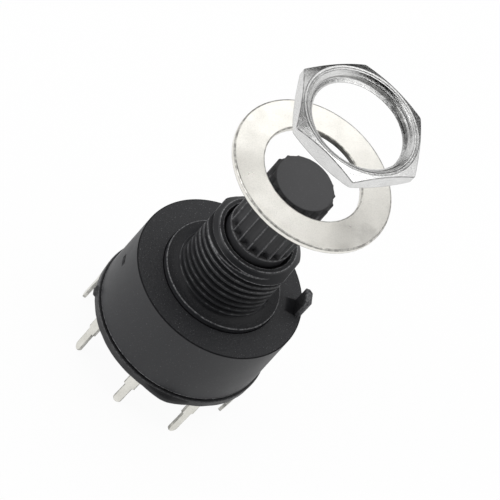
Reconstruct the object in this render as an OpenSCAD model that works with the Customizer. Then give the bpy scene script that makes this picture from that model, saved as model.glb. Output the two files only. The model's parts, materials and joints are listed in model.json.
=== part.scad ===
// Panel-mount rotary switch, three poles and three positions, with its washer and
// nut held off above the shaft. The origin is the centre of the raised seat that
// bears on the panel, and +Z runs along the shaft.

/* [Body] */
// Diameter of the housing at its top face
body_d = 15.8; // [15.4:0.1:16.2]
// Diameter of the housing at its lower edge, where the side wall ends
foot_d = 16.0; // [15.6:0.1:16.4]
// Height of the housing from its lower edge up to its top face
body_h = 7.05; // [6.8:0.05:8]
// Thickness of the housing side wall at the top
wall = 0.95; // [0.7:0.05:1.2]
// Thickness of the housing ceiling under the top face
ceiling = 1.2; // [1.0:0.05:1.4]
// Diameter of the raised seat that bears on the panel
seat_d = 10.84; // [10.2:0.02:12]
// Height of the raised seat above the top face
seat_h = 0.6; // [0.4:0.05:0.9]

/* [Bushing] */
// Major diameter of the bushing, over its thread crests
bushing_d = 8.9; // [8.8:0.05:9]
// Height of the bushing above the seat
bushing_h = 6.5; // [5:0.1:8]
// Size of the 45 degree chamfer on the bushing's top edge
bushing_chamfer = 0.82; // [0.4:0.02:0.9]
// Distance from the axis to each moulded flat across the thread
flat_reach = 4.12; // [4.1:0.01:4.4]
// Direction of the first flat about the axis
flat_angle = -30; // [-90:5:90]

/* [Shaft] */
// Diameter over the knurl's crests
shaft_d = 6; // [5.8:0.05:6]
// Length of the shaft above the seat
shaft_h = 14.8; // [12:0.1:20]
// Number of knurl teeth
knurl_teeth = 18; // [12:1:24]
// Depth of the knurl's valleys
knurl_depth = 0.3; // [0.15:0.05:0.4]
// Size of the 45 degree chamfer at the shaft's tip
tip_chamfer = 0.36; // [0.2:0.02:0.6]

/* [Contacts] */
// Switching positions for each pole
positions = 3; // [3:1:3]
// Number of poles
poles = 3; // [3:1:3]
// Angle between neighbouring positions
step_angle = 40; // [38:1:40]
// Height of the terminals' tips below the seat
tip_depth = 12.5; // [11:0.1:14]
// Width of a terminal's blade
blade_w = 0.8; // [0.6:0.05:1]
// Thickness of the terminal metal
blade_t = 0.3; // [0.25:0.05:0.4]

/* [Locating lug] */
// Direction of the lug about the axis
lug_angle = -5; // [-10:0.5:10]
// Width of the lug, across the radius
lug_w = 1.75; // [1.2:0.05:2]
// Thickness of the lug, along the radius
lug_t = 0.7; // [0.5:0.05:0.9]
// Height of the lug above the top face
lug_h = 2; // [1:0.05:2.5]

/* [Washer and nut] */
// Outer diameter of the washer
washer_d = 14.6; // [13:0.1:15]
// Hole through the washer
washer_hole = 9; // [9:0.05:9.6]
// Thickness of the washer
washer_t = 0.5; // [0.4:0.05:0.8]
// Height of the washer's lower face above the seat
washer_z = 15.8; // [15.2:0.1:20]
// Nut size across its flats
nut_af = 10.8; // [10.6:0.1:12]
// Thickness of the nut
nut_t = 1.6; // [1.5:0.1:2.5]
// Clear hole through the nut, at the roots of its thread
nut_hole = 9; // [9:0.05:9.1]
// Height of the nut's lower face above the seat
nut_z = 22.9; // [21:0.1:27]
// Direction of the nut's first corner about the axis
nut_angle = 25; // [0:1:59]

/* [Hidden] */
$fn = 96;
eps = 0.01;

// heights, all measured from the seat
top_z = -seat_h;
rim_z = top_z - body_h;
ceiling_z = top_z - ceiling;
cavity_r = body_d / 2 - wall;

// plain collar of the shaft, which runs in the bushing
journal_gap = 0.06;
collar_z = bushing_h + 0.8;
shaft_r = shaft_d / 2;
bore_r = shaft_r + journal_gap;

// bushing: its thread is a row of ring grooves, the first of them at thread_low
bushing_r = bushing_d / 2;
thread_pitch = 0.75;
thread_low = 0.58;
thread_turns = 7;
groove_h = 0.45;
groove_flank = 0.16;
root_r = flat_reach - 0.04;

// base plate
spigot_z = -6.6;
spigot_r = cavity_r - 0.05;
neck_r = foot_d / 2 - 0.3;
neck_h = 0.15;
flange_r = foot_d / 2 + 0.2;
flange_z = rim_z - neck_h;
base_z = flange_z - 0.8;

// rotor stack, from the ceiling down
flange_gap = 0.1;
collar_flange_r = 4;
collar_flange_h = 0.5;
rotor_top = ceiling_z - 0.65;
rotor_bottom = -4.6;
rotor_r = cavity_r - 0.35;
drive_w = 3.6;
drive_gap = 0.03;
pivot_r = 1.5;
pivot_z = -7.4;

// detent spring
ring_in = 4.35;
ring_out = 5.9;
ring_t = 0.2;
ring_z = rotor_top;
notch_r = 0.5;
bump_r = 0.42;
bump_z = ceiling_z - 0.05;

// stop rib in the housing and the gap for it in the rotor
rib_w = 3;
rib_r = 6;
rotor_gap_r = 5.7;
travel = step_angle * (positions - 1) / 2;
rib_half_angle = atan(rib_w / 2 / rib_r);
gap_half_angle = travel + rib_half_angle + 1.5;

// contacts
contact_count = positions * poles;
pad_in = 4.7;
pad_out = 6.3;
common_in = 2.5;
common_out = 3.9;
pad_gap = 0.05;
riser_r = 6.15;
leg_z = base_z;
blade_root_r = 8.3;
lean = 3;
shoulder_w = 1.15;
shoulder_z = -9.9;
blade_hang = (-leg_z - tip_depth) / cos(lean);

// ---------- helpers ----------

// one copy of the children at each angle in the list
module at_angles(list) {
    for (a = list) rotate([0, 0, a]) children();
}

// wedge of a disc, from -half to +half about +X
module sector(r, half) {
    steps = 12;
    polygon(concat([[0, 0]], [
        for (i = [0 : steps]) let (a = -half + 2 * half * i / steps) r * [cos(a), sin(a)]
    ]));
}

// quarter-round corner points, from angle a0 to a1 about [x, y]
function arc(x, y, r, a0, a1, n = 5) =
    [for (i = [0 : n]) let (a = a0 + (a1 - a0) * i / n) [x + r * cos(a), y + r * sin(a)]];

function pole_angle(p) = p * 360 / poles;
function contact_angle(i) = (i - 1 - (contact_count - 1) / 2) * step_angle;

// ---------- housing ----------

// profile points of one thread groove, from height z up
function groove(z) = [
    [bushing_r, z], [root_r, z + groove_flank],
    [root_r, z + groove_h - groove_flank], [bushing_r, z + groove_h],
];

module housing_profile() {
    edge = 0.12;
    seat_edge = 0.25;
    countersink = 0.25;
    polygon(concat(
        [[bore_r, ceiling_z], [cavity_r, ceiling_z], [cavity_r, rim_z]],
        [[foot_d / 2 - edge, rim_z], [foot_d / 2, rim_z + edge]],
        arc(body_d / 2 - edge, top_z - edge, edge, 0, 90, 3),
        [[seat_d / 2, top_z]],
        arc(seat_d / 2 - seat_edge, -seat_edge, seat_edge, 0, 90),
        [[bushing_r, 0]],
        [for (k = [0 : thread_turns - 1]) each groove(thread_low + k * thread_pitch)],
        [
            [bushing_r, bushing_h - bushing_chamfer],
            [bushing_r - bushing_chamfer, bushing_h],
            [bore_r + countersink, bushing_h], [bore_r, bushing_h - countersink],
        ]
    ));
}

// block that stops the body turning in the panel, with its outer corners eased
module lug() {
    outer = body_d / 2 - 0.03;
    ease = 0.3;
    translate([0, 0, top_z - 0.4]) linear_extrude(lug_h + 0.4)
        polygon([
            [outer - lug_t, -lug_w / 2], [outer - ease, -lug_w / 2], [outer, -lug_w / 2 + ease],
            [outer, lug_w / 2 - ease], [outer - ease, lug_w / 2], [outer - lug_t, lug_w / 2],
        ]);
}

// flats moulded along the thread, from its first groove up through the chamfer
module thread_flats() {
    depth = 1;
    low = thread_low + groove_h / 2;
    for (a = [0, 180]) rotate([0, 0, flat_angle + a])
        translate([flat_reach, -bushing_r, low]) cube([depth, bushing_d, bushing_h - low]);
}

module detent_notches() {
    first = -travel;
    at_angles([for (side = [90, 270], k = [0 : positions - 1]) side + first + k * step_angle])
        translate([ring_in + 0.2, 0, ceiling_z]) rotate([0, 90, 0]) cylinder(r = notch_r, h = 1.3);
}

module housing() {
    slot_angle = 173.5;
    slot_w = 0.8;
    slot_h = 0.5;
    slot_depth = 0.4;
    slot_z = top_z - 2.8;
    color("#232427") difference() {
        union() {
            rotate_extrude() housing_profile();
            rotate([0, 0, lug_angle]) lug();
            translate([-cavity_r - 0.3, -rib_w / 2, rotor_bottom])
                cube([cavity_r + 0.3 - rib_r, rib_w, ceiling_z - rotor_bottom + eps]);
        }
        thread_flats();
        detent_notches();
        rotate([0, 0, slot_angle]) translate([body_d / 2 - slot_depth, -slot_w / 2, slot_z - slot_h / 2])
            cube([1, slot_w, slot_h]);
    }
}

// ---------- base plate ----------

module base_profile() {
    edge = 0.1;
    recess_r = 2.1;
    recess_h = 0.3;
    polygon([
        [0, spigot_z - 1.0], [pivot_r + 0.05, spigot_z - 1.0], [pivot_r + 0.05, spigot_z],
        [spigot_r, spigot_z], [spigot_r, rim_z], [neck_r, rim_z], [neck_r, flange_z],
        [flange_r - edge, flange_z], [flange_r, flange_z - edge], [flange_r, base_z + edge],
        [flange_r - edge, base_z], [recess_r, base_z], [recess_r, base_z + recess_h],
        [0, base_z + recess_h],
    ]);
}

// key on the rim that lines the plate up in its assembly jig, width w at its foot
module rim_key(w, out) {
    crown = 0.3;
    foot_x = sqrt(flange_r * flange_r - w * w / 4) - 0.03;
    translate([0, 0, base_z]) linear_extrude(flange_z - base_z - 0.15)
        polygon([
            [foot_x - 0.3, -w / 2], [foot_x, -w / 2], [flange_r + out, -crown],
            [flange_r + out, crown], [foot_x, w / 2], [foot_x - 0.3, w / 2],
        ]);
}

module base_plate() {
    color("#1e1f22") difference() {
        union() {
            rotate_extrude() base_profile();
            at_angles([-3.5, 176.5]) rim_key(0.9, 0.2);
            at_angles([-98, 82]) rim_key(4.4, 0.34);
        }
        for (i = [1 : contact_count]) terminal_shape(i);
        for (p = [1 : poles]) common_shape(p);
    }
}

// ---------- terminals ----------

// blade outline seen from outside the body: shoulder, blade and round tip
module blade_outline(hang) {
    tip_r = blade_w / 2;
    shoulder_h = leg_z - shoulder_z;
    translate([-shoulder_w / 2, -shoulder_h]) square([shoulder_w, shoulder_h]);
    translate([-tip_r, hang + tip_r]) square([blade_w, -hang - tip_r]);
    translate([0, hang + tip_r]) circle(tip_r);
}

// blade hanging from the leg, centred on the plane x = 0
module blade(hang) {
    rotate([90, 0, 90]) translate([0, 0, -blade_t / 2]) linear_extrude(blade_t) blade_outline(hang);
}

// a fixed contact: pad on the plate, riser, leg in the plate's underside and a blade that
// leans inwards
module terminal_shape(i) {
    rotate([0, 0, contact_angle(i)]) {
        translate([pad_in, -shoulder_w / 2, spigot_z - blade_t]) cube([pad_out - pad_in, shoulder_w, blade_t]);
        translate([riser_r - blade_t / 2, -shoulder_w / 2, leg_z])
            cube([blade_t, shoulder_w, spigot_z - leg_z]);
        translate([riser_r - blade_t / 2, -shoulder_w / 2, leg_z])
            cube([blade_root_r - riser_r + blade_t, shoulder_w, blade_t]);
        translate([blade_root_r, 0, leg_z + blade_t / 2]) rotate([0, lean, 0]) blade(blade_hang - blade_t / 2);
    }
}

// a pole's common contact: a curved track with one straight blade
module common_shape(p) {
    track_half = travel + 14;
    blade_r = (common_in + common_out) / 2 + 0.3;
    rotate([0, 0, pole_angle(p)]) {
        translate([0, 0, spigot_z - blade_t]) linear_extrude(blade_t) intersection() {
            difference() {
                circle(common_out);
                circle(common_in);
            }
            sector(common_out + 1, track_half);
        }
        translate([blade_r - blade_t / 2, -shoulder_w / 2, leg_z]) cube([blade_t, shoulder_w, spigot_z - leg_z]);
        translate([blade_r, 0, leg_z]) blade(-leg_z - tip_depth);
    }
}

module terminal(i) {
    color("#c9c8c3") terminal_shape(i);
}

module common(p) {
    color("#c9c8c3") common_shape(p);
}

// ---------- shaft and rotor ----------

// knurl section: wide round valleys between narrow crests
module knurl_section() {
    pitch_angle = 360 / knurl_teeth;
    crest_angle = 0.16 * pitch_angle;
    half_chord = shaft_r * sin((pitch_angle - crest_angle) / 2);
    chord_x = shaft_r * cos((pitch_angle - crest_angle) / 2);
    sagitta = chord_x - (shaft_r - knurl_depth);
    valley_r = (half_chord * half_chord + sagitta * sagitta) / (2 * sagitta);
    difference() {
        circle(shaft_r);
        at_angles([for (k = [0 : knurl_teeth - 1]) (k + 0.5) * pitch_angle])
            translate([shaft_r - knurl_depth + valley_r, 0]) circle(valley_r, $fn = 32);
    }
}

module shaft() {
    flange_top = ceiling_z - flange_gap;
    flange_low = flange_top - collar_flange_h;
    pivot_ease = 0.2;
    color("#1d1e21") {
        intersection() {
            translate([0, 0, collar_z - eps]) linear_extrude(shaft_h - collar_z + eps) knurl_section();
            rotate_extrude() polygon([
                [0, collar_z - 1], [shaft_r + 1, collar_z - 1], [shaft_r + 1, shaft_h - tip_chamfer - 1],
                [shaft_r - tip_chamfer, shaft_h], [0, shaft_h],
            ]);
        }
        rotate_extrude() polygon([
            [0, flange_low], [collar_flange_r, flange_low], [collar_flange_r, flange_top],
            [shaft_r, flange_top], [shaft_r, collar_z], [0, collar_z],
        ]);
        translate([-drive_w / 2, -drive_w / 2, rotor_bottom])
            cube([drive_w, drive_w, flange_low - rotor_bottom + eps]);
        rotate_extrude() polygon([
            [0, pivot_z], [pivot_r - pivot_ease, pivot_z], [pivot_r, pivot_z + pivot_ease],
            [pivot_r, rotor_bottom + eps], [0, rotor_bottom + eps],
        ]);
    }
}

peg_r = 0.35;
peg_reach = 4.3;

module rotor() {
    flange_pocket = collar_flange_r + 0.1;
    pocket_z = ceiling_z - flange_gap - collar_flange_h - 0.02;
    flex_depth = 0.55;
    color("#d8d4c6") {
        difference() {
            translate([0, 0, rotor_bottom]) cylinder(r = rotor_r, h = rotor_top - rotor_bottom);
            // seat of the shaft's flange
            translate([0, 0, pocket_z]) cylinder(r = flange_pocket, h = 1);
            translate([-drive_w / 2 - drive_gap, -drive_w / 2 - drive_gap, rotor_bottom - 1])
                cube([drive_w + 2 * drive_gap, drive_w + 2 * drive_gap, 5]);
            // room for the detent spring's arms to bend down
            for (side = [90, 270]) rotate([0, 0, side]) translate([0, 0, rotor_top - flex_depth])
                linear_extrude(flex_depth + 1) difference() {
                    sector(ring_out + 0.2, 50);
                    circle(ring_in - 0.15);
                }
            // gap that the stop rib stands in
            rotate([0, 0, 180]) translate([0, 0, rotor_bottom - 1]) linear_extrude(5) difference() {
                sector(rotor_r + 1, gap_half_angle);
                circle(rotor_gap_r);
            }
        }
        at_angles([for (p = [1 : poles]) pole_angle(p)])
            translate([peg_reach, 0, rotor_bottom - 0.4]) cylinder(r = peg_r, h = 0.5, $fn = 32);
    }
}

// flat spring ring with two pressed bumps that click into the ceiling's notches
module detent_spring() {
    bump_len = 1.0;
    color("#b9bcc0") difference() {
        union() {
            translate([0, 0, ring_z]) cylinder(r = ring_out, h = ring_t);
            at_angles([90, 270]) translate([ring_in + 0.3, 0, 0]) {
                translate([0, 0, bump_z]) rotate([0, 90, 0]) cylinder(r = bump_r, h = bump_len);
                translate([0, -bump_r, ring_z]) cube([bump_len, 2 * bump_r, bump_z - ring_z]);
            }
        }
        translate([0, 0, ring_z - 1]) cylinder(r = ring_in, h = 3);
        at_angles([90, 270]) translate([ring_in - 0.3, 0, 0]) {
            translate([0, 0, bump_z]) rotate([0, 90, 0]) cylinder(r = bump_r - ring_t, h = bump_len + 1);
            translate([0, ring_t - bump_r, ring_z - 1])
                cube([bump_len + 1, 2 * (bump_r - ring_t), bump_z - ring_z + 1]);
        }
    }
}

// bridge contact seen from the side, from the common track out to the fixed contacts
module wiper_profile() {
    low = spigot_z + pad_gap;
    foot_r = 0.16;
    strip = 0.2;
    in_r = (common_in + common_out) / 2;
    out_r = (pad_in + pad_out) / 2;
    polygon(concat(
        [[peg_reach - 0.55, rotor_bottom], [peg_reach + 0.55, rotor_bottom]],
        arc(out_r, low + foot_r, foot_r, 0, -180, 8),
        [[peg_reach + 0.4, rotor_bottom - strip], [peg_reach - 0.4, rotor_bottom - strip]],
        arc(in_r, low + foot_r, foot_r, 0, -180, 8)
    ));
}

module wiper(p) {
    wiper_w = 1.1;
    color("#cfa35a") rotate([0, 0, pole_angle(p)]) difference() {
        rotate([90, 0, 0]) translate([0, 0, -wiper_w / 2]) linear_extrude(wiper_w) wiper_profile();
        translate([peg_reach, 0, rotor_bottom - 1]) cylinder(r = peg_r + 0.02, h = 2, $fn = 32);
    }
}

// ---------- washer and nut ----------

module washer() {
    edge = 0.08;
    low = washer_z;
    high = washer_z + washer_t;
    inner = washer_hole / 2;
    outer = washer_d / 2;
    color("#c8c3b8") rotate_extrude() polygon([
        [inner, low], [outer - edge, low], [outer, low + edge],
        [outer, high - edge], [outer - edge, high], [inner, high],
    ]);
}

module nut() {
    face_r = nut_af / 2 - 0.05;
    corner_r = nut_af / 2 / cos(30);
    reach = corner_r + 0.2;
    fall = (reach - face_r) * tan(30);
    mouth = 0.1;
    hole_r = nut_hole / 2;
    color("#c9cbce") difference() {
        intersection() {
            translate([0, 0, nut_z]) rotate([0, 0, nut_angle]) cylinder(r = corner_r, h = nut_t, $fn = 6);
            rotate_extrude() polygon([
                [0, nut_z], [face_r, nut_z], [reach, nut_z + fall],
                [reach, nut_z + nut_t - fall], [face_r, nut_z + nut_t], [0, nut_z + nut_t],
            ]);
        }
        rotate_extrude() polygon([
            [0, nut_z - 1], [hole_r + mouth + 1, nut_z - 1], [hole_r + mouth, nut_z],
            [hole_r, nut_z + mouth], [hole_r, nut_z + nut_t - mouth],
            [hole_r + mouth, nut_z + nut_t], [hole_r + mouth + 1, nut_z + nut_t + 1],
            [0, nut_z + nut_t + 1],
        ]);
    }
}

housing();
base_plate();
shaft();
rotor();
detent_spring();
wiper(1);  // wiper_1
wiper(2);  // wiper_2
wiper(3);  // wiper_3
terminal(1);  // terminal_1
terminal(2);  // terminal_2
terminal(3);  // terminal_3
terminal(4);  // terminal_4
terminal(5);  // terminal_5
terminal(6);  // terminal_6
terminal(7);  // terminal_7
terminal(8);  // terminal_8
terminal(9);  // terminal_9
common(1);  // common_1
common(2);  // common_2
common(3);  // common_3
washer();
nut();
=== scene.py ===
"""Looks of a panel-mount rotary switch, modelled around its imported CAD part.

Sizes and places are in millimetres, and each mesh is turned into metres as it is made.
"""
import json
from math import acos, atan2, cos, pi, radians, sin, tan

import bmesh
import bpy
import numpy as np
from mathutils import Matrix, Quaternion, Vector


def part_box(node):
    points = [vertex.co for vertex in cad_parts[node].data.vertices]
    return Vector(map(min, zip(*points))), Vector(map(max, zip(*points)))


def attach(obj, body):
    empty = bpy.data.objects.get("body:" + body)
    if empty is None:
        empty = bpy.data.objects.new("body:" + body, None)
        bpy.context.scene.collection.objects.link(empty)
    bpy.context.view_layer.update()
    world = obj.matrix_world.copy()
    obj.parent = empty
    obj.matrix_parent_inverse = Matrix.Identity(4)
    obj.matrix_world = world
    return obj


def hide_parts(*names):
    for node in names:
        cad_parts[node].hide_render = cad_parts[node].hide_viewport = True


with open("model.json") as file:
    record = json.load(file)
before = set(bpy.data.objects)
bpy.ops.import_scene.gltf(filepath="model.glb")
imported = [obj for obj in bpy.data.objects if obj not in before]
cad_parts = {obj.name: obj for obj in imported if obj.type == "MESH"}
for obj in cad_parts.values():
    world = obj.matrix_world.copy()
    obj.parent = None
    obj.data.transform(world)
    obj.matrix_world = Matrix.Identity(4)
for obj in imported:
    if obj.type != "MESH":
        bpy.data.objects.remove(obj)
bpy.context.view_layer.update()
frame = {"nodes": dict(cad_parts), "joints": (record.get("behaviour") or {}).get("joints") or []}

MM = 0.001


def box(node):
    """Lowest and highest corners of a CAD node, in millimetres."""
    low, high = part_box(node)
    return low / MM, high / MM


# ---------- driving sizes ----------

HOUSING_LOW, HOUSING_HIGH = box("housing")
BASE_LOW, BASE_HIGH = box("base_plate")
SHAFT_LOW, SHAFT_HIGH = box("shaft")
WASHER_LOW, WASHER_HIGH = box("washer")
NUT_LOW, NUT_HIGH = box("nut")

# Housing. Height 0 is the seat that the panel rests on.
RIM_Z = HOUSING_LOW.z
TOP_Z = -0.6
CEILING_Z = -1.8
BUSHING_TOP = HOUSING_HIGH.z
FOOT_R = HOUSING_HIGH.y
BODY_R = FOOT_R - 0.1
SEAT_R = 5.42
CAVITY_R = 6.95
SLOT_Z = TOP_Z - 2.8
SLOT_AZIMUTH = radians(173.5)
SLOT_W, SLOT_H = 0.95, 0.6

# Thread of the bushing. CREST_Z is the height of a crest at CREST_AZIMUTH. The two flats lie
# FLAT_REACH from the axis, above FLAT_LOW, and the chamfer starts at CHAMFER_LOW.
THREAD_PITCH = 0.75
THREAD_CREST_R = 4.45
THREAD_ROOT_R = 4.05
THREAD_LOW = 0.1
CREST_AZIMUTH = radians(-121.4)
CREST_Z = 0.43
CHAMFER_LOW = 5.68
FLAT_REACH = 4.12
FLAT_LOW = 0.5
FLAT_AZIMUTH = radians(-30)

# Shaft.
SHAFT_R = 3.0
BORE_R = 3.06
COLLAR_Z = 7.3
KNURL_TEETH = 18
VALLEY_R = 2.7
TIP_CHAMFER = 0.36

# Base plate. Each key on its rim: degrees round the body, width, and how far it stands out.
FLANGE_R = 8.2
FLANGE_Z = RIM_Z - 0.15
RECESS = 0.2
KEYS = [(176.5, 0.9, 0.2), (-3.5, 0.9, 0.2), (-98, 4.4, 0.34), (82, 4.4, 0.34)]

# Terminals. The contacts lie on the plate at PLATE_Z, and each blade narrows at SHOULDER_Z.
TERMINAL_TIP = box("terminal_5")[0].z
SHOULDER_Z = -9.9
PLATE_Z = -6.6
BLADE_W = 0.8
BLADE_T = 0.3
SHOULDER_W = 1.15
STRIP_EDGE = 0.05
CONTACTS = 9
CONTACT_STEP = radians(40)
POLES = 3
POLE_STEP = radians(120)
# How each terminal is bent: degrees round the body, degrees inwards, and sideways per mm.
BENDS = {1: (-2, -5.5, 0.08), 2: (1, -0.5, -0.02), 3: (3, -6.5, -0.14), 4: (0, 3.5, 0.1),
         5: (0, 2, 0.04), 6: (0, 0, 0), 7: (0, 1, -0.05), 8: (0, 2, 0), 9: (0, -1.5, -0.02)}

# ---------- meshes ----------


def add_mesh(name, points, faces, wear_and_shading=None):
    """A mesh object from points in millimetres. The last argument gives each point's wear and
    painted
    light and shade: from 0 to 1 how rubbed it is, partly a painted highlight on the plastic and a
    darkening on the metal, and from 0 to -1 how much painted shade it takes in creases and hollows."""
    mesh = bpy.data.meshes.new(name)
    mesh.from_pydata((np.asarray(points) * MM).tolist(), [], faces)
    obj = bpy.data.objects.new(name, mesh)
    bpy.context.scene.collection.objects.link(obj)
    values = np.zeros(len(mesh.vertices)) if wear_and_shading is None else np.asarray(wear_and_shading, float)
    attribute = mesh.attributes.new("wear_and_shading", "FLOAT", "POINT")
    attribute.data.foreach_set("value", values.astype(np.float32))
    work = bmesh.new()
    work.from_mesh(mesh)
    bmesh.ops.recalc_face_normals(work, faces=work.faces)
    work.to_mesh(mesh)
    work.free()
    mesh.shade_smooth()
    return obj


def weigh_normals(obj):
    """Keeps flat faces flat in smooth shading."""
    weighted = obj.modifiers.new("flat_faces", "WEIGHTED_NORMAL")
    weighted.keep_sharp = True
    weighted.weight = 60


def apply_modifiers(obj):
    """Turns the object's modifiers into its mesh."""
    depsgraph = bpy.context.evaluated_depsgraph_get()
    final = bpy.data.meshes.new_from_object(obj.evaluated_get(depsgraph))
    obj.modifiers.clear()
    obj.data = final


def combine(obj, operation, tools):
    """Joins tools to obj, or cuts them out of it, and removes them."""
    for tool in tools:
        boolean = obj.modifiers.new(tool.name, "BOOLEAN")
        boolean.operation = operation
        boolean.solver = "MANIFOLD"
        boolean.object = tool
    apply_modifiers(obj)
    for tool in tools:
        bpy.data.objects.remove(tool)


def rounded(corners, steps=4):
    """Points on a line through (r, z, rounding) corners, and each point's wear and painted shading.

    Wear, with its painted highlight, stays on the roundings: it ends a short way beyond each. A
    fourth number in a corner gives its amount, instead of 1. A negative rounding is a hollow
    corner, with painted shade as deep as -1.
    The two ends are left sharp.
    """
    points, wear_and_shading = [], []
    for i, (r, z, rounding, *wear_and_shade_amount) in enumerate(corners):
        here = np.array((r, z), float)
        if rounding == 0 or i in (0, len(corners) - 1):
            points.append(here)
            wear_and_shading.append(0.0)
            continue
        before = np.array(corners[i - 1][:2]) - here
        after = np.array(corners[i + 1][:2]) - here
        lengths = np.linalg.norm(before), np.linalg.norm(after)
        before /= lengths[0]
        after /= lengths[1]
        size = abs(rounding)
        half = acos(np.clip(before @ after, -1, 1)) / 2
        middle = (before + after) / np.linalg.norm(before + after)
        centre = here + middle * size / sin(half)
        cut = size / tan(half)
        start, end = before * cut + here - centre, after * cut + here - centre
        fades = [min(0.05, 0.3 * (length - cut)) for length in lengths]
        points.append(here + before * (cut + fades[0]))
        first = atan2(start[1], start[0])
        turn = (atan2(end[1], end[0]) - first + pi) % (2 * pi) - pi
        for k in range(steps + 1):
            angle = first + turn * k / steps
            points.append(centre + size * np.array((cos(angle), sin(angle))))
        points.append(here + after * (cut + fades[1]))
        # A rounding is rubbed, with a painted highlight, and a hollow takes painted shade.
        amount = wear_and_shade_amount[0] if wear_and_shade_amount else np.sign(rounding)
        wear_and_shading += [0.0] + [amount] * (steps + 1) + [0.0]
    return np.array(points), np.array(wear_and_shading)


def around(count):
    """Evenly spaced angles of a full turn."""
    return np.arange(count) * 2 * pi / count


def turned(name, radius, height, wear_and_shading, closed):
    """A mesh of rings about the axis. radius, height and the wear and painted shading have a row
    for each ring.

    closed joins the last ring to the first; otherwise both ends are capped.
    """
    rings, count = radius.shape
    angles = around(count)
    points = np.stack([radius * np.cos(angles), radius * np.sin(angles), height], -1)
    index = np.arange(rings * count).reshape(rings, count)
    faces = []
    for k in range(rings if closed else rings - 1):
        low, high = index[k], index[(k + 1) % rings]
        faces += np.stack([low, np.roll(low, -1), np.roll(high, -1), high], -1).tolist()
    if not closed:
        faces += [index[0].tolist(), index[-1].tolist()]
    return add_mesh(name, points.reshape(-1, 3), faces, wear_and_shading.reshape(-1))


def spread(values, count):
    """A column of values repeated for every angle."""
    return np.repeat(np.asarray(values, float)[:, None], count, 1)


def smooth(low, high, x):
    """Smooth step from 0 at low to 1 at high."""
    t = np.clip((x - low) / (high - low), 0, 1)
    return t * t * (3 - 2 * t)


def ridge(distance, land=0.08, foot=0.35):
    """Height of a thread's ridge, from 1 within land of the crest to 0 from foot on."""
    return 1 - smooth(land, foot, np.abs(distance))


def helix_offset(height, angles, crest_z):
    """Distance along the axis from the nearest crest of a right-hand thread."""
    turns = (height - crest_z) / THREAD_PITCH - (angles - CREST_AZIMUTH) / (2 * pi)
    return (turns - np.round(turns)) * THREAD_PITCH


def waviness(angles, height, seed, size):
    """A slow, repeatable unevenness over a surface of revolution."""
    random = np.random.default_rng(seed)
    total = np.zeros(np.broadcast(angles, height).shape)
    waves = (3, 5, 8, 13, 21, 34)
    for lobes in waves:
        phase, lean = random.uniform(0, 2 * pi), random.uniform(-4, 4)
        total = total + np.sin(lobes * angles + lean * height + phase)
    return size * total / len(waves)


# ---------- housing ----------


def thread_surface(heights, angles):
    """Radius of the threaded length, with its two flats, and its wear and painted shading.

    The thread, the chamfer's cone and the flats meet in edges softened by softness. The lips on
    both sides of each crest are rubbed, with a painted highlight, more so higher up, the chamfer's
    edge has a painted highlight, and the valleys take painted shade.
    """
    height, angle = heights[:, None], angles[None, :]
    run_in, wobble, softness = 0.3, 0.02, 0.02
    offset = helix_offset(height, angle, CREST_Z)
    crest = ridge(offset) * smooth(THREAD_LOW, THREAD_LOW + run_in, height)
    depth = THREAD_CREST_R - THREAD_ROOT_R + waviness(angle, height, 3, wobble) - wobble
    thread = THREAD_ROOT_R + depth * crest
    cone = THREAD_CREST_R + CHAMFER_LOW - height
    facing = np.abs(np.cos(angle - FLAT_AZIMUTH))
    flat = FLAT_REACH / np.maximum(facing, 0.5)
    flat = np.where(height > FLAT_LOW, flat, THREAD_CREST_R)
    radius = -softness * np.log(sum(np.exp(-r / softness) for r in (thread, cone, flat)))

    cut_off = np.minimum(cone, flat)
    lip_at, lip_width = 0.13, 0.035
    lip = np.exp(-((np.abs(offset) - lip_at) / lip_width) ** 2)
    lip *= thread < cut_off + softness
    # Painted highlight along the chamfer's edge.
    chamfer_edge_highlight = 0.75 * np.exp(-((cone - np.minimum(thread, flat)) / 0.03) ** 2)
    valley = (1 - crest) * (thread < cut_off)
    # Rubbed lips with a painted highlight.
    rubbing_and_highlight = 0.17 + 0.35 * smooth(2.5, 4.5, height) + waviness(angle, height, 7, 0.3)
    marks = rubbing_and_highlight * lip * crest + chamfer_edge_highlight
    # Where these are faint, painted shade, deepest in the valleys.
    faintest, shade = 0.15, -0.35 - 0.4 * valley
    return radius, np.clip(np.where(marks > faintest, marks, shade), -1, 1)


def wall_r(z):
    """Radius of the side wall, which widens slightly towards its foot."""
    return FOOT_R + (BODY_R - FOOT_R) * (z - RIM_Z) / (TOP_Z - RIM_Z)


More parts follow.
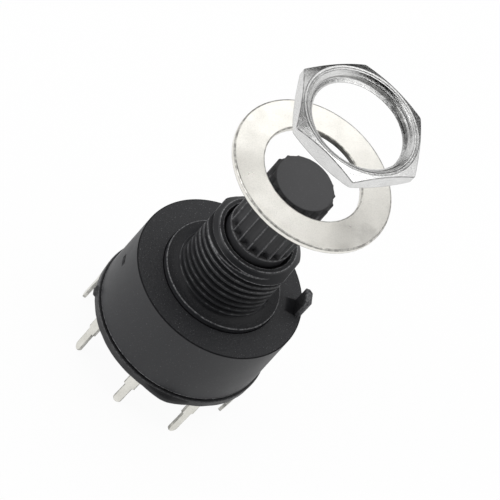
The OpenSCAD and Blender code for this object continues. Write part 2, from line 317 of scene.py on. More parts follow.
def housing_shell():
    """Cup, seat, threaded bushing and bore, without the lug and the side slot."""
    count = 384
    angles = around(count)
    # Close rows above and below the slot keep its painted shade from spreading over the wall.
    slot_rows = [SLOT_Z + side * (SLOT_H / 2 + rim) for side, rim in
                 ((-1, 0.07), (-1, 0.01), (1, 0.01), (1, 0.07))]
    # The rounded edges are rubbed, with a painted highlight; the wall's top edge and the seat's
    # foot take painted shade.
    outside, outside_wear_and_shading = rounded([
        (CAVITY_R, RIM_Z, 0), (FOOT_R, RIM_Z, 0.1),
        *[(wall_r(z), z, 0) for z in slot_rows], (BODY_R, TOP_Z, 0.07, -0.8),
        (SEAT_R, TOP_Z, -0.05), (SEAT_R, 0, 0.06, 0.75),
        (THREAD_ROOT_R, 0, 0),
    ])
    bevel_z, bevel_r = BUSHING_TOP - 0.15, 3.65
    mouth, mouth_depth = 0.22, 0.35
    heights = np.linspace(THREAD_LOW, bevel_z, 180)
    thread, thread_wear_and_shading = thread_surface(heights, angles)
    # The top's outer and mouth edges are rubbed, with a painted highlight.
    top, top_wear_and_shading = rounded([
        (thread[-1].mean() - 0.01, bevel_z + 0.01, 0), (bevel_r, BUSHING_TOP, 0.05),
        (BORE_R + mouth, BUSHING_TOP, 0.05), (BORE_R, BUSHING_TOP - mouth_depth, 0),
        (BORE_R, CEILING_Z, 0), (CAVITY_R, CEILING_Z, 0),
    ])
    radius = np.vstack([spread(outside[:, 0], count), thread, spread(top[:, 0], count)])
    height = np.vstack([spread(outside[:, 1], count), spread(heights, count),
                        spread(top[:, 1], count)])
    thread_foot_shade = -0.35
    outside_wear_and_shading[-2:] = thread_foot_shade
    wear_and_shading = np.vstack([spread(outside_wear_and_shading, count), thread_wear_and_shading, spread(top_wear_and_shading, count)])
    # Painted shade on the wall round the slot.
    above, beside = 0.03, 0.05
    at_slot = (np.abs(height - SLOT_Z) < SLOT_H / 2 + above) & (radius > BODY_R - 0.1)
    at_slot &= np.abs(angles - SLOT_AZIMUTH) * BODY_R < SLOT_W / 2 + beside
    wear_and_shading[at_slot] = -1
    return turned("housing_body", radius, height, wear_and_shading, closed=True)


def block(name, outline, low, high, edge=0.0, wear_and_shading=1.0):
    """An upright block from an outline of (x, y) points, with its edges rounded by edge."""
    count = len(outline)
    points = [(x, y, z) for z in (low, high) for x, y in outline]
    faces = [list(range(count)), list(range(count, 2 * count))]
    faces += [[i, (i + 1) % count, (i + 1) % count + count, i + count] for i in range(count)]
    obj = add_mesh(name, points, faces, np.full(len(points), wear_and_shading))
    if edge:
        bevel = obj.modifiers.new("edges", "BEVEL")
        bevel.width = edge * MM
        bevel.segments = 3
        apply_modifiers(obj)
    return obj


def bar(inner, outer, width):
    """Outline of a radial bar from inner to outer, for block."""
    side = width / 2
    return [(inner, -side), (outer, -side), (outer, side), (inner, side)]


def turn_about_axis(obj, angle):
    """Turns a mesh about the shaft's axis."""
    obj.data.transform(Matrix.Rotation(angle, 4, "Z"))


def locating_lug():
    """Block on the rim, with its outer corners eased."""
    width, thickness, height, sunk, ease = 1.75, 0.7, 2.0, 0.3, 0.3
    outer = BODY_R - 0.03
    inner = outer - thickness
    side = width / 2
    outline = [(inner, -side), (outer - ease, -side), (outer, ease - side),
               (outer, side - ease), (outer - ease, side), (inner, side)]
    # The whole lug is half rubbed, partly wear and partly painted light.
    lug = block("lug", outline, TOP_Z - sunk, TOP_Z + height, 0.09, 0.5)
    turn_about_axis(lug, radians(-5))
    return lug


def side_slot():
    """Cutter for the small slot in the side wall."""
    depth = 0.5
    outline = bar(BODY_R - depth, FOOT_R + 1, SLOT_W)
    # The slot's faces take full painted shade.
    slot = block("slot", outline, SLOT_Z - SLOT_H / 2, SLOT_Z + SLOT_H / 2, wear_and_shading=-1.0)
    turn_about_axis(slot, SLOT_AZIMUTH)
    return slot


def make_housing():
    """Housing in one piece with its lug, and with the side slot cut in."""
    housing = housing_shell()
    combine(housing, "UNION", [locating_lug()])
    combine(housing, "DIFFERENCE", [side_slot()])
    weigh_normals(housing)
    return housing


# ---------- base plate ----------


def key_reach(angles):
    """How far the keys stand out from the rim, over the angles."""
    reach = np.zeros_like(angles)
    crown = 0.3  # half the width over which a key stands out in full
    for centre, width, out in KEYS:
        away = np.abs((angles - radians(centre) + pi) % (2 * pi) - pi) * FLANGE_R
        reach = np.maximum(reach, out * np.clip((width / 2 - away) / (width / 2 - crown), 0, 1))
    return reach


def pocket(angle, inner, outer, depth):
    """Cutter for the hollow in the underside that a terminal comes out of."""
    clearance = 0.06
    outline = bar(inner, outer, SHOULDER_W + 2 * clearance)
    # The pocket's faces take some painted shade.
    cutter = block("pocket", outline, BASE_LOW.z - 1, BASE_LOW.z + depth, wear_and_shading=-0.3)
    turn_about_axis(cutter, angle)
    return cutter


def make_base():
    """Plate in the housing's mouth and the flange below it, with keys, recesses and pockets."""
    count = 720
    angles = around(count)
    low, neck_r, plate_r, centre_r = BASE_LOW.z, FOOT_R - 0.3, CAVITY_R - 0.05, 0.3
    recess_z, centre_z = low + RECESS, low + 0.3
    # The neck under the rim takes painted shade, and the rounded edges are rubbed, with a painted
    # highlight.
    profile, wear_and_shading = rounded([
        (centre_r, BASE_HIGH.z, 0), (plate_r, BASE_HIGH.z, 0.1),
        (plate_r, RIM_Z, 0), (neck_r, RIM_Z, 0),
        (neck_r, FLANGE_Z, -0.06), (FLANGE_R, FLANGE_Z, 0.07, 0.45),
        (FLANGE_R, FLANGE_Z - 0.15, 0), (FLANGE_R, FLANGE_Z - 0.18, 0), (FLANGE_R, low, 0.1),
        (7.1, low, 0.05), (6.9, recess_z, 0), (5.65, recess_z, 0), (3.95, recess_z, 0),
        (3.05, recess_z, 0), (2.5, recess_z, 0), (2.3, low, 0.05),
        (1.9, low, 0.05), (1.8, centre_z, 0), (centre_r, centre_z, 0),
    ])
    radius = spread(profile[:, 0], count)
    height = spread(profile[:, 1], count)
    on_rim = (profile[:, 0] > FLANGE_R - 0.15) & (profile[:, 1] < FLANGE_Z - 0.16)
    radius[on_rim] += key_reach(angles)
    radius[on_rim] += np.minimum(waviness(angles[None, :], height[on_rim], 11, 0.05), 0)
    base = turned("base_plate_body", radius, height, spread(wear_and_shading, count), closed=False)
    leg_pocket, common_pocket = (5.8, 8.1, BLADE_T + 0.02), (3.18, 3.82, 0.28)
    pockets = [pocket(i * CONTACT_STEP, *leg_pocket) for i in range(CONTACTS)]
    pockets += [pocket(p * POLE_STEP, *common_pocket) for p in range(POLES)]
    combine(base, "DIFFERENCE", pockets)
    weigh_normals(base)
    return base


# ---------- terminals ----------


def strip(name, path, widths, thickness, edge):
    """A folded strip of sheet metal along a path of (r, z) points, with eased edges."""
    path = np.asarray(path, float)
    along = np.gradient(path, axis=0)
    along /= np.linalg.norm(along, axis=1)[:, None]
    normal = np.stack([along[:, 1], -along[:, 0]], -1)
    half_t = thickness / 2
    points, wear_and_shading = [], []
    for (r, z), (nr, nz), width in zip(path, normal, widths):
        half_w = width / 2
        ease = min(edge, half_w * 0.3)
        flat = half_w - 2 * ease
        section = [
            (half_w, ease - half_t), (half_w, half_t - ease), (half_w - ease, half_t),
            (flat, half_t), (-flat, half_t), (ease - half_w, half_t), (-half_w, half_t - ease),
            (-half_w, ease - half_t), (ease - half_w, -half_t), (-flat, -half_t), (flat, -half_t),
            (half_w - ease, -half_t),
        ]
        points += [(r + nr * d, side, z + nz * d) for side, d in section]
        wear_and_shading += [0.0 if abs(side) == flat else 1.0 for side, _ in section]
    index = np.arange(len(points)).reshape(len(path), -1)
    faces = [index[0].tolist(), index[-1].tolist()]
    for low, high in zip(index[:-1], index[1:]):
        faces += np.stack([low, np.roll(low, -1), np.roll(high, -1), high], -1).tolist()
    return add_mesh(name, points, faces, wear_and_shading)


def blade_path(start, root, lean):
    """Path and widths of a strip: through start's points, then from root down a blade."""
    fold, root_fold, taper = 0.18, 0.17, 0.1
    tip_r = BLADE_W / 2
    root = np.array(root)
    down = np.array((-sin(lean), -cos(lean)))
    corners = [(*point, fold) for point in start]
    corners += [(*root, root_fold), (*(root + down), 0)]
    lead = rounded(corners, 5)[0][:-1]
    shoulder = (root[1] - SHOULDER_Z) / cos(lean)
    tip_start = (root[1] - TERMINAL_TIP) / cos(lean) - tip_r
    tip_turns = np.radians([20, 40, 55, 68, 78, 85])
    marks = [shoulder - taper, shoulder, tip_start, *(tip_start + tip_r * np.sin(tip_turns))]
    widths = [SHOULDER_W, BLADE_W, BLADE_W, *(BLADE_W * np.cos(tip_turns))]
    path = np.vstack([lead, [root + down * mark for mark in marks]])
    return path, [SHOULDER_W] * len(lead) + widths


def make_terminal(i):
    """Fixed contact: pad on the plate, riser, leg in the underside and a blade, bent as the photo
    shows it."""
    half_t = BLADE_T / 2
    pad_z, leg_z = PLATE_Z - half_t, BASE_LOW.z + half_t
    pad_r, riser_r, blade_r = 4.7, 6.15, 7.93
    turned_by, lean, sideways = BENDS[i]
    path, widths = blade_path([(pad_r, pad_z), (riser_r, pad_z), (riser_r, leg_z)],
                              (blade_r, leg_z), radians(lean))
    obj = strip(f"terminal_{i}_strip", path, widths, BLADE_T, STRIP_EDGE)
    bend_sideways(obj, sideways)
    turn_about_axis(obj, (i - 1 - (CONTACTS - 1) / 2) * CONTACT_STEP + radians(turned_by))
    weigh_normals(obj)
    return obj


def bend_sideways(obj, lean):
    """Leans a blade to one side from just below the base, by lean millimetres a millimetre."""
    from_z = (BASE_LOW.z - BLADE_T) * MM
    for vertex in obj.data.vertices:
        vertex.co.y += lean * max(from_z - vertex.co.z, 0)


def make_common(p):
    """Common contact: a curved track with one straight blade."""
    track_in, track_out, half_angle = 2.5, 3.9, radians(54)
    blade_r = 3.5
    arc = np.linspace(-half_angle, half_angle, 25)
    outline = [(track_out * cos(a), track_out * sin(a)) for a in arc]
    outline += [(track_in * cos(a), track_in * sin(a)) for a in arc[::-1]]
    track = block("track", outline, PLATE_Z - BLADE_T, PLATE_Z, 0.04)
    path, widths = blade_path([], (blade_r, PLATE_Z - 0.1), 0)
    blade = strip(f"common_{p}_strip", path, widths, BLADE_T, STRIP_EDGE)
    combine(blade, "UNION", [track])
    turn_about_axis(blade, p * POLE_STEP)
    weigh_normals(blade)
    return blade


# ---------- shaft ----------


def knurl_radius(angles):
    """Radius of the knurl: wide round valleys between narrow crests."""
    pitch = 2 * pi / KNURL_TEETH
    away = np.abs((angles + pitch / 2) % pitch - pitch / 2) / (pitch / 2)
    crest, foot = 0.1, 0.24
    flank = 1 - smooth(crest, foot, away)
    bowl = 0.35 * smooth(1.0, foot, away)
    return VALLEY_R + (SHAFT_R - VALLEY_R) * np.maximum(flank, bowl)


def knurled_length(angles):
    """Radius, heights, wear and painted shading of the knurl, with pockets at its foot and a
    chamfered tip.
    """
    knurl = knurl_radius(angles)
    crest = np.clip((knurl - VALLEY_R) / (SHAFT_R - VALLEY_R), 0, 1)
    tip_z = SHAFT_HIGH.z
    chamfer_z = tip_z - TIP_CHAMFER
    heights = np.concatenate([
        COLLAR_Z + np.array([0.005, 0.03, 0.15, 0.3, 0.45, 0.6, 0.75]),
        np.linspace(COLLAR_Z + 1.2, chamfer_z - 0.25, 6),
        np.linspace(chamfer_z - 0.08, tip_z, 14),
    ])
    pocket_depth, pocket_low, pocket_high = 0.22, 0.2, 0.7
    in_pocket = (1 - smooth(pocket_low, pocket_high, heights - COLLAR_Z))[:, None]
    foot_pocket = pocket_depth * in_pocket * (1 - crest) ** 2
    cone = SHAFT_R + chamfer_z - heights
    radius = np.minimum(knurl[None, :] - foot_pocket, cone[:, None])
    # Rubbed crests with a painted highlight, and painted shade in the valleys near the tip and on
    # the chamfer.
    near_tip = smooth(chamfer_z - 1.6, chamfer_z - 0.4, heights)[:, None]
    wear_and_shading = crest ** 6 * (1 - 0.4 * near_tip) - 0.75 * near_tip * (1 - crest)
    chamfer_shade = -0.15
    wear_and_shading[cone[:, None] < knurl[None, :]] = chamfer_shade
    wear_and_shading[-1] = 0
    return radius, heights, wear_and_shading


def make_shaft():
    """Pivot, square hub, flange, plain collar and knurled length, moulded in one."""
    count = KNURL_TEETH * 30
    angles = around(count)
    flange_r, flange_top, flange_low = 4.0, CEILING_Z - 0.1, CEILING_Z - 0.6
    hub_low, hub_half = -4.6, 1.8
    pivot_r, pivot_low = 1.5, SHAFT_LOW.z
    centre_r = 0.2
    lower, lower_worn = rounded([
        (centre_r, pivot_low, 0), (pivot_r, pivot_low, 0.2), (pivot_r, hub_low, 0),
    ])
    # The collar's edge is rubbed, with a painted highlight.
    middle, middle_wear_and_shading = rounded([
        (flange_r, flange_low, 0), (flange_r, flange_top, 0.05), (SHAFT_R, flange_top, 0),
        (SHAFT_R, COLLAR_Z, 0.1), (VALLEY_R, COLLAR_Z, 0),
    ])
    hub = hub_half / np.maximum(np.abs(np.cos(angles)), np.abs(np.sin(angles)))
    tip_rings = np.array([2.5, 1.6, 0.8, centre_r])
    lengths = [
        (spread(lower[:, 0], count), lower[:, 1], spread(lower_worn, count)),
        (np.tile(hub, (2, 1)), np.array((hub_low, flange_low)), np.zeros((2, count))),
        (spread(middle[:-1, 0], count), middle[:-1, 1], spread(middle_wear_and_shading[:-1], count)),
        knurled_length(angles),
        (spread(tip_rings, count), np.full(4, SHAFT_HIGH.z), np.zeros((4, count))),
    ]
    radius, heights, wear_and_shading = zip(*lengths)
    shaft = turned("shaft_body", np.vstack(radius), spread(np.concatenate(heights), count),
                   np.vstack(wear_and_shading), closed=False)
    weigh_normals(shaft)
    return shaft


# ---------- washer and nut ----------


def make_washer():
    """Stamped washer: rolled over on its upper edges, sharper below."""
    count = 256
    inner, outer = 4.5, WASHER_HIGH.y
    low, high = WASHER_LOW.z, WASHER_HIGH.z
    middle = (inner + outer) / 2
    profile, wear_and_shading = rounded([
        (middle, low, 0), (outer, low, 0.05), (outer, high, 0.13), (middle, high, 0),
        (inner, high, 0.1), (inner, low, 0.04), (middle - 0.01, low, 0),
    ])
    angles = around(count)
    radius = spread(profile[:, 0], count)
    height = spread(profile[:, 1], count) + waviness(angles[None, :], radius, 5, 0.008)
    washer = turned("washer_ring", radius, height, spread(wear_and_shading, count), closed=True)
    weigh_normals(washer)
    return washer


def hexagon(angles, apothem, first_corner):
    """Radius of a hexagon with slightly rounded corners. A higher power makes them sharper."""
    power = 110
    total = np.zeros_like(angles)
    for side in range(6):
        total += np.maximum(np.cos(angles - first_corner - pi / 6 - side * pi / 3), 0) ** power
    return apothem / total ** (1 / power)


def nut_thread(angles, low, high, mouth_r):
    """Radius, heights and painted shade of the nut's bore: its thread, with painted shade between
    the ridges and on one side."""
    root_r, crest_r = 4.5, 4.08
    travel = sum(abs(j["range_m"][0]) for j in frame["joints"] if j["type"] == "slide") / MM
    # Slid right down, the nut has its ridges midway between the bushing's.
    crest_z = CREST_Z + travel + THREAD_PITCH / 2
    heights = np.linspace(high - 0.3, low + 0.05, 90)
    lead_in = (mouth_r - np.minimum(high - heights, heights - low))[:, None]
    offset = helix_offset(heights[:, None], angles[None, :], crest_z)
    crest = ridge(offset, 0.0, 0.22)
    thread = root_r - (root_r - crest_r) * crest
    # Painted shade in the roots, and on one side over the ridges too.
    shaded_side = np.maximum(np.cos(angles - radians(30)), 0) ** 3
    roots = (1 - crest) * (thread > lead_in)
    bore_shade = 0.35 * roots + shaded_side * (0.85 - 0.45 * crest ** 2)
    return np.maximum(thread, lead_in), heights, bore_shade


def make_nut():
    """Hexagon nut with both faces chamfered round, a raised lip on top and an internal thread."""
    count = 480
    angles = around(count)
    low, high = NUT_LOW.z, NUT_HIGH.z
    apothem, first_corner = 5.4, radians(25)
    face_r, lip_r, mouth_r = 5.24, 5.0, 4.86
    slope, least_reach = tan(radians(25)), 0.11
    sections, profile_darkening = [], []
    for reach in hexagon(angles, apothem, first_corner):
        fall = max(reach - face_r, least_reach) * slope
        profile, wear_and_shading = rounded([
            (mouth_r, low, 0), (face_r, low, 0.1), (reach, low + fall, 0.06),
            (reach, high - fall, 0.06), (face_r, high, 0.06), (lip_r, high, 0.04),
            (lip_r - 0.02, high - 0.05, 0), (mouth_r, high - 0.06, 0.03),
            (mouth_r - 0.2, high - 0.26, 0),
        ])
        sections.append(profile)
        profile_darkening.append(wear_and_shading)
    outside = np.array(sections).transpose(1, 0, 2)
    bore, heights, bore_shade = nut_thread(angles, low, high, mouth_r)
    radius = np.vstack([outside[:, :, 0], bore])
    height = np.vstack([outside[:, :, 1], spread(heights, count)])
    wear_and_shading = np.vstack([np.array(profile_darkening).T, bore_shade])
    nut = turned("nut_body", radius, height, wear_and_shading, closed=True)
    weigh_normals(nut)
    return nut


# ---------- materials ----------


class Shader:
    """Node-building shorthand for one material."""

    def __init__(self, name):
        self.material = bpy.data.materials.new(name)
        self.material.use_nodes = True
        self.tree = self.material.node_tree
        self.surface = self.tree.nodes["Principled BSDF"]
        self.place = self.tree.nodes.new("ShaderNodeTexCoord").outputs["Object"]

    def set(self, **values):
        """Sets the surface's own sockets; an underscore stands for a space."""
        for key, value in values.items():
            self.surface.inputs[key.replace("_", " ")].default_value = value

    def link(self, output, socket):
        """Links a node's output to one of the surface's own sockets."""
        self.tree.links.new(output, self.surface.inputs[socket])

    def noise(self, size_mm, detail, roughness, place=None):
        """Noise with features of about the given size."""
        node = self.tree.nodes.new("ShaderNodeTexNoise")
        node.inputs["Scale"].default_value = 1 / (size_mm * MM)
        node.inputs["Detail"].default_value = detail
        node.inputs["Roughness"].default_value = roughness
        self.tree.links.new(place or self.place, node.inputs["Vector"])
        return node.outputs["Fac"]

    def attribute(self, name):
        """Value of a point attribute of the mesh."""
        node = self.tree.nodes.new("ShaderNodeAttribute")
        node.attribute_name = name
        return node.outputs["Fac"]

    def ramp(self, value, low, high, first, last):
        """Maps value from low..high to first..last, clamped."""
        node = self.tree.nodes.new("ShaderNodeMapRange")
        self.tree.links.new(value, node.inputs["Value"])
        for key, number in zip(("From Min", "From Max", "To Min", "To Max"),
                               (low, high, first, last)):
            node.inputs[key].default_value = number
        return node.outputs["Result"]

    def math(self, operation, a, b=0):
        """Result of a math node on two values, each a number or a socket."""
        node = self.tree.nodes.new("ShaderNodeMath")
        node.operation = operation
        for socket, value in zip(node.inputs, (a, b)):
            if isinstance(value, (int, float)):
                socket.default_value = value
            else:
                self.tree.links.new(value, socket)
        return node.outputs[0]

    def blend(self, factor, a, b):
        """Colour a where factor is 0 and b where it is 1."""
        node = self.tree.nodes.new("ShaderNodeMix")
        node.data_type = "RGBA"
        self.tree.links.new(factor, node.inputs[0])
        for socket, value in zip((node.inputs[6], node.inputs[7]), (a, b)):
            if isinstance(value, tuple):
                socket.default_value = (*value, 1)
            else:
                self.tree.links.new(value, socket)
        return node.outputs[2]

    def grazing(self, last):
        """1 where the surface faces the viewer, falling to last at its outline."""
        node = self.tree.nodes.new("ShaderNodeLayerWeight")
        return self.ramp(node.outputs["Facing"], 0.35, 0.9, 1, last)

    def facing_up(self):
        """1 on the faces square to the shaft, 0 on the sides."""
        split = self.tree.nodes.new("ShaderNodeSeparateXYZ")
        normal = self.tree.nodes.new("ShaderNodeTexCoord").outputs["Normal"]
        self.tree.links.new(normal, split.inputs[0])
        return self.ramp(split.outputs["Z"], 0.8, 0.98, 0.0, 1.0)

    def bump(self, height, depth_mm, normal=None):
        """Normal over a relief of height times depth_mm, laid on another normal if one is given."""
        node = self.tree.nodes.new("ShaderNodeBump")
        node.inputs["Strength"].default_value = 1.0
        node.inputs["Distance"].default_value = depth_mm * MM
        self.tree.links.new(height, node.inputs["Height"])
        if normal is not None:
            self.tree.links.new(normal, node.inputs["Normal"])
        return node.outputs["Normal"]

    def about_axis(self, radial, angular, axial):
        """Coordinates (radius, angle, height) times factors, for marks that run round the axis."""
        split = self.tree.nodes.new("ShaderNodeSeparateXYZ")
        self.tree.links.new(self.place, split.inputs[0])
        x, y, z = split.outputs
        radius = self.math("SQRT", self.math("ADD", self.math("MULTIPLY", x, x),
                                             self.math("MULTIPLY", y, y)))
        angle = self.math("ARCTAN2", y, x)
        join = self.tree.nodes.new("ShaderNodeCombineXYZ")
        for socket, value, factor in zip(join.inputs, (radius, angle, z),
                                         (radial, angular, axial)):
            self.tree.links.new(self.math("MULTIPLY", value, factor), socket)
        return join.outputs[0]


def moulded_plastic(name, colour, rubbed_and_lit, roughness, grain_mm, pits_depth, specular=0.3,
                    grain_depth=0.004, painted_top_light=0.0):
    """Moulded plastic: fine grain, flat faces with coarser pits and a painted top light, faint
    clouds of sheen, a few specks, rubbed edges with a painted highlight, and painted shade in
    creases."""
    shader = Shader(name)
    cloud = shader.noise(3.0, 3, 0.5)
    grain = shader.noise(grain_mm, 2, 0.6)
    flat = shader.facing_up()
    specks_and_top_light = shader.math("MULTIPLY", shader.ramp(shader.noise(0.1, 1, 0.4), 0.66, 0.78, 0, 0.5),
                         shader.ramp(flat, 0, 1, 0.3, 1))
    # Painted top light on the flat faces.
    specks_and_top_light = shader.math("ADD", specks_and_top_light, shader.math("MULTIPLY", flat, painted_top_light))
    wear_and_shade_amount = shader.attribute("wear_and_shading")
    # Rubbed wear, partly a painted highlight.
    wear_and_shading = shader.math("MULTIPLY", shader.ramp(wear_and_shade_amount, 0, 1, 0, 1),
                       shader.ramp(shader.noise(0.22, 4, 0.7), 0.38, 0.62, 0.05, 1))
    # Painted shade in creases and hollows: a darker colour and less gloss.
    painted_crease_shade = shader.ramp(wear_and_shade_amount, -1, 0, 1, 0)
    rubbed_and_lit_colour = shader.blend(wear_and_shading, shader.blend(specks_and_top_light, colour, rubbed_and_lit), rubbed_and_lit)
    dark = tuple(0.25 * c for c in colour)
    shader.link(shader.blend(painted_crease_shade, rubbed_and_lit_colour, dark), "Base Color")
    gloss_outside_shade = shader.math("MULTIPLY", shader.math("SUBTRACT", 1, painted_crease_shade), shader.grazing(0.3))
    shader.link(shader.math("MULTIPLY", gloss_outside_shade, specular), "Specular IOR Level")
    sheen = shader.ramp(cloud, 0.3, 0.7, roughness - 0.03, roughness + 0.03)
    matt = shader.math("MULTIPLY", shader.math("SUBTRACT", flat, wear_and_shading), 0.1)
    shader.link(shader.math("ADD", sheen, matt), "Roughness")
    pits = shader.math("MULTIPLY", shader.noise(grain_mm * 2, 3, 0.6), flat)
    pitted = shader.bump(pits, pits_depth)
    shader.link(shader.bump(grain, grain_depth, normal=pitted), "Normal")
    return shader.material


def plated_metal(name, colour, shade, roughness, marks_depth=0.003, dent_depth=0.006,
                 streaks=0.3, edge=0.5, round_marks=None):
    """Plated metal: cloudy tone, fine marks as dark as streaks, small dents, and darkening up to
    edge on the edges and on the painted shade that the mesh carries. round_marks gives the marks'
    scale along the radius, the angle and the axis, where they run round the axis."""
    shader = Shader(name)
    cloud = shader.noise(1.6, 4, 0.6)
    if round_marks:
        marks = shader.noise(1.0, 4, 0.65, place=shader.about_axis(*round_marks))
    else:
        marks = shader.noise(0.12, 4, 0.65)
    dents = shader.noise(0.45, 3, 0.55)
    tone = shader.math("ADD", shader.ramp(cloud, 0.35, 0.65, 0, 1 - streaks),
                       shader.ramp(marks, 0.42, 0.66, 0, streaks))
    wear_and_shade_amount = shader.ramp(shader.attribute("wear_and_shading"), 0, 1, 0, 1)
    # Edges are darkened, and so is the painted shade in the nut's bore.
    darkening = shader.math("MULTIPLY", wear_and_shade_amount, shader.ramp(dents, 0.35, 0.6, 0.3, edge))
    plain = shader.blend(tone, colour, shade)
    dark = tuple(0.3 * c for c in shade)
    shader.link(shader.blend(darkening, plain, dark), "Base Color")
    shader.link(shader.ramp(cloud, 0.3, 0.7, roughness * 0.8, roughness * 1.25), "Roughness")
    shader.link(shader.bump(marks, marks_depth, normal=shader.bump(dents, dent_depth)), "Normal")
    shader.set(Metallic=1.0)
    return shader.material


def make_materials():
    """Every material of the pieces, by a short name."""
    return {
        "housing": moulded_plastic(
            "housing_plastic", colour=(0.0235, 0.024, 0.0265), rubbed_and_lit=(0.30, 0.302, 0.31),
            roughness=0.40, grain_mm=0.09, pits_depth=0.05),
        "base": moulded_plastic(
            "base_plastic", colour=(0.02, 0.02, 0.0215), rubbed_and_lit=(0.15, 0.15, 0.155),
            roughness=0.38, grain_mm=0.12, pits_depth=0.02),
        # The shaft's flat faces take a painted top light.
        "shaft": moulded_plastic(
            "shaft_plastic", colour=(0.024, 0.024, 0.026), rubbed_and_lit=(0.14, 0.14, 0.145),
            roughness=0.42, grain_mm=0.08, pits_depth=0.01, painted_top_light=0.4),
        "rotor": moulded_plastic(
            "rotor_plastic", colour=(0.66, 0.62, 0.52), rubbed_and_lit=(0.74, 0.71, 0.62),
            roughness=0.5, grain_mm=0.12, pits_depth=0.01, specular=0.5, grain_depth=0.005),
        "washer": plated_metal(
            "washer_nickel", colour=(0.92, 0.90, 0.845), shade=(0.79, 0.775, 0.725),
            roughness=0.34, marks_depth=0.006, dent_depth=0.004, streaks=0.7, edge=0.9),
        "nut": plated_metal(
            "nut_nickel", colour=(0.9, 0.9, 0.89), shade=(0.32, 0.32, 0.32),
            roughness=0.15, marks_depth=0.008, dent_depth=0.02, streaks=0.9, edge=0.8,
            round_marks=(6500, 1.5, 6500)),
        "contact": plated_metal(
            "contact_silver", colour=(0.78, 0.77, 0.72), shade=(0.62, 0.61, 0.56),
            roughness=0.34, marks_depth=0.004, dent_depth=0.01, streaks=0.4, edge=0.8),
        "spring": plated_metal(
            "spring_steel", colour=(0.60, 0.61, 0.63), shade=(0.45, 0.46, 0.48), roughness=0.28),
        "wiper": plated_metal(
            "wiper_bronze", colour=(0.76, 0.54, 0.28), shade=(0.58, 0.38, 0.18), roughness=0.3),
    }


def finish(obj, material, body):
    """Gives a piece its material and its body."""
    obj.data.materials.clear()
    obj.data.materials.append(material)
    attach(obj, body)


# ---------- studio ----------


def direction(azimuth, elevation):
    """Unit vector towards an azimuth and elevation in degrees."""
    a, e = radians(azimuth), radians(elevation)
    return Vector((cos(e) * cos(a), cos(e) * sin(a), sin(e)))


def make_camera():
    """Camera above and to one side, rolled so that the shaft leans to the upper right."""
    back = direction(-121.4, 46.9)
    roll = radians(41.9)
    distance = 282.0
    aim = Vector((1.53, 2.0, 1.75))
    camera = bpy.data.cameras.new("camera")
    camera.lens = 237.7
    camera.sensor_width = 36
    camera.clip_start = 0.01
    camera.clip_end = 20
    obj = bpy.data.objects.new("camera", camera)
    bpy.context.scene.collection.objects.link(obj)
    obj.location = (aim + back * distance) * MM
    level = back.to_track_quat("Z", "Y")
    obj.rotation_mode = "QUATERNION"
    obj.rotation_quaternion = level @ Quaternion((0, 0, 1), roll)
    bpy.context.scene.camera = obj


def seen_directly(tree):
    """1 for camera, glossy and transmission rays, and 0 for the light that falls on things."""
    path = tree.nodes.new("ShaderNodeLightPath")
    total = path.outputs["Is Camera Ray"]
    for name in ("Is Glossy Ray", "Is Transmission Ray"):
        node = tree.nodes.new("ShaderNodeMath")
        node.operation = "MAXIMUM"
        tree.links.new(total, node.inputs[0])
        tree.links.new(path.outputs[name], node.inputs[1])
        total = node.outputs[0]
    return total


def mix_shaders(tree, factor, first, second):
    """Shader that is first where factor is 0 and second where it is 1."""
    mix = tree.nodes.new("ShaderNodeMixShader")
    for output, socket in zip((factor, first, second), mix.inputs):
        tree.links.new(output, socket)
    return mix.outputs[0]


def make_world():
    """Even light from all round, which is plain white where it is seen or mirrored."""
    ambient = 0.85
    world = bpy.data.worlds.new("world")
    bpy.context.scene.world = world
    world.use_nodes = True
    tree = world.node_tree
    light = tree.nodes["Background"]
    light.inputs["Color"].default_value = (1, 1, 1, 1)
    light.inputs["Strength"].default_value = ambient
    white = tree.nodes.new("ShaderNodeBackground")
    white.inputs["Color"].default_value = (1, 1, 1, 1)
    white.inputs["Strength"].default_value = 1
    mix = mix_shaders(tree, seen_directly(tree), light.outputs[0], white.outputs[0])
    tree.links.new(mix, tree.nodes["World Output"].inputs[0])


def floor_material():
    """White, and mostly glowing where it is seen, so that only a faint shadow is left on it. From
    below it is clear, so that the underside can be looked at."""
    glow_share = 0.95
    material = bpy.data.materials.new("floor_white")
    material.use_nodes = True
    tree = material.node_tree
    surface = tree.nodes["Principled BSDF"]
    surface.inputs["Base Color"].default_value = (0.9, 0.9, 0.9, 1)
    surface.inputs["Roughness"].default_value = 0.9
    surface.inputs["Specular IOR Level"].default_value = 0.0
    glow = tree.nodes.new("ShaderNodeEmission")
    glow.inputs["Strength"].default_value = 1.0
    share = tree.nodes.new("ShaderNodeMath")
    share.operation = "MULTIPLY"
    share.inputs[1].default_value = glow_share
    tree.links.new(seen_directly(tree), share.inputs[0])
    upper = mix_shaders(tree, share.outputs[0], surface.outputs[0], glow.outputs[0])
    geometry = tree.nodes.new("ShaderNodeNewGeometry")
    clear = tree.nodes.new("ShaderNodeBsdfTransparent")
    both = mix_shaders(tree, geometry.outputs["Backfacing"], upper, clear.outputs[0])
    tree.links.new(both, tree.nodes["Material Output"].inputs[0])
    return material


def add_card(name, width, height, z=0.0):
    """A flat rectangle about the axis, in millimetres."""
    x, y = width / 2, height / 2
    return add_mesh(name, [(-x, -y, z), (x, -y, z), (x, y, z), (-x, y, z)], [[0, 1, 2, 3]])


def make_floor():
    """Floor just under the terminals' tips."""
    size, gap = 1800.0, 0.02
    floor = add_card("floor", size, size, TERMINAL_TIP - gap)
    floor.data.materials.append(floor_material())


def face_object(obj, azimuth, elevation, distance):
    """Puts obj at a place given in degrees and millimetres and turns it to face the origin."""
    back = direction(azimuth, elevation)
    obj.location = back * distance * MM
    obj.rotation_euler = back.to_track_quat("Z", "Y").to_euler()


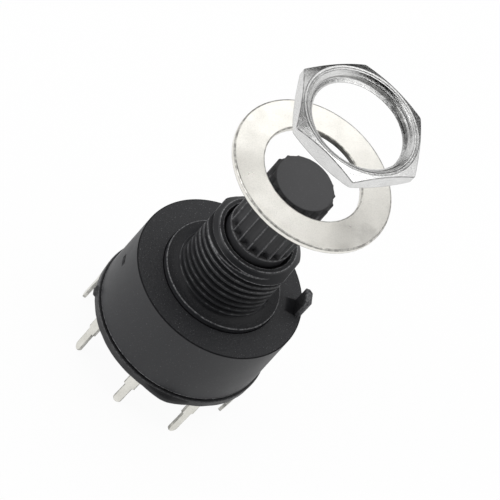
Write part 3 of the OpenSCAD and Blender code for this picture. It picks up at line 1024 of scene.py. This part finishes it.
def add_softbox(name, azimuth, elevation, distance, size, power):
    """Square soft lamp, with its power in watts."""
    lamp = bpy.data.lights.new(name, "AREA")
    lamp.shape = "SQUARE"
    lamp.size = size * MM
    lamp.energy = power
    obj = bpy.data.objects.new(name, lamp)
    bpy.context.scene.collection.objects.link(obj)
    face_object(obj, azimuth, elevation, distance)


def add_flag(name, azimuth, elevation, distance, width, height, tone=0.01, shades=False):
    """Dark card that the object mirrors but the camera doesn't see; shades says that it also
    takes light away from the object."""
    flag = add_card(name, width, height)
    material = bpy.data.materials.new(name)
    material.use_nodes = True
    surface = material.node_tree.nodes["Principled BSDF"]
    surface.inputs["Base Color"].default_value = (0, 0, 0, 1)
    surface.inputs["Specular IOR Level"].default_value = 0.0
    surface.inputs["Emission Color"].default_value = (1, 1, 1, 1)
    surface.inputs["Emission Strength"].default_value = tone
    flag.data.materials.append(material)
    face_object(flag, azimuth, elevation, distance)
    flag.visible_camera = False
    flag.visible_shadow = shades
    flag.visible_diffuse = shades


def make_lights():
    """Two soft lamps and four dark cards. The first card is the dark room behind the camera, and
    the others are mirrored in the nut's sides, the washer and the nut's bore."""
    add_softbox("key", azimuth=60, elevation=77, distance=600, size=600, power=1.4)
    add_softbox("fill", azimuth=-172, elevation=20, distance=600, size=400, power=1.2)
    add_flag("flag_camera", azimuth=-108, elevation=46, distance=450, width=760, height=500,
             shades=True)
    add_flag("flag_nut", azimuth=70, elevation=12, distance=150, width=190, height=120)
    add_flag("flag_washer", azimuth=33, elevation=60, distance=56, width=17, height=19, tone=0.02)
    add_flag("flag_bore", azimuth=123.7, elevation=76.2, distance=45.3, width=18, height=18)


# ---------- assembly ----------

make_camera()
make_world()
make_floor()
make_lights()

materials = make_materials()

housing = make_housing()
finish(housing, materials["housing"], "body")
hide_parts("housing")

base = make_base()
finish(base, materials["base"], "body")
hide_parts("base_plate")

for i in range(1, CONTACTS + 1):
    terminal = make_terminal(i)
    finish(terminal, materials["contact"], "body")
    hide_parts(f"terminal_{i}")

for p in range(1, POLES + 1):
    common = make_common(p)
    finish(common, materials["contact"], "body")
    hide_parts(f"common_{p}")

shaft = make_shaft()
finish(shaft, materials["shaft"], "rotor_assembly")
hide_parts("shaft")

washer = make_washer()
finish(washer, materials["washer"], "washer")
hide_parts("washer")

nut = make_nut()
finish(nut, materials["nut"], "nut")
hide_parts("nut")

# The pieces inside keep the shapes of the CAD.
INNER_MATERIALS = {
    "rotor": "rotor", "detent_spring": "spring",
    "wiper_1": "wiper", "wiper_2": "wiper", "wiper_3": "wiper",
}
for node, key in INNER_MATERIALS.items():
    inner = frame["nodes"][node]
    inner.data.materials.clear()
    inner.data.materials.append(materials[key])

bpy.context.scene.view_settings.view_transform = "Standard"
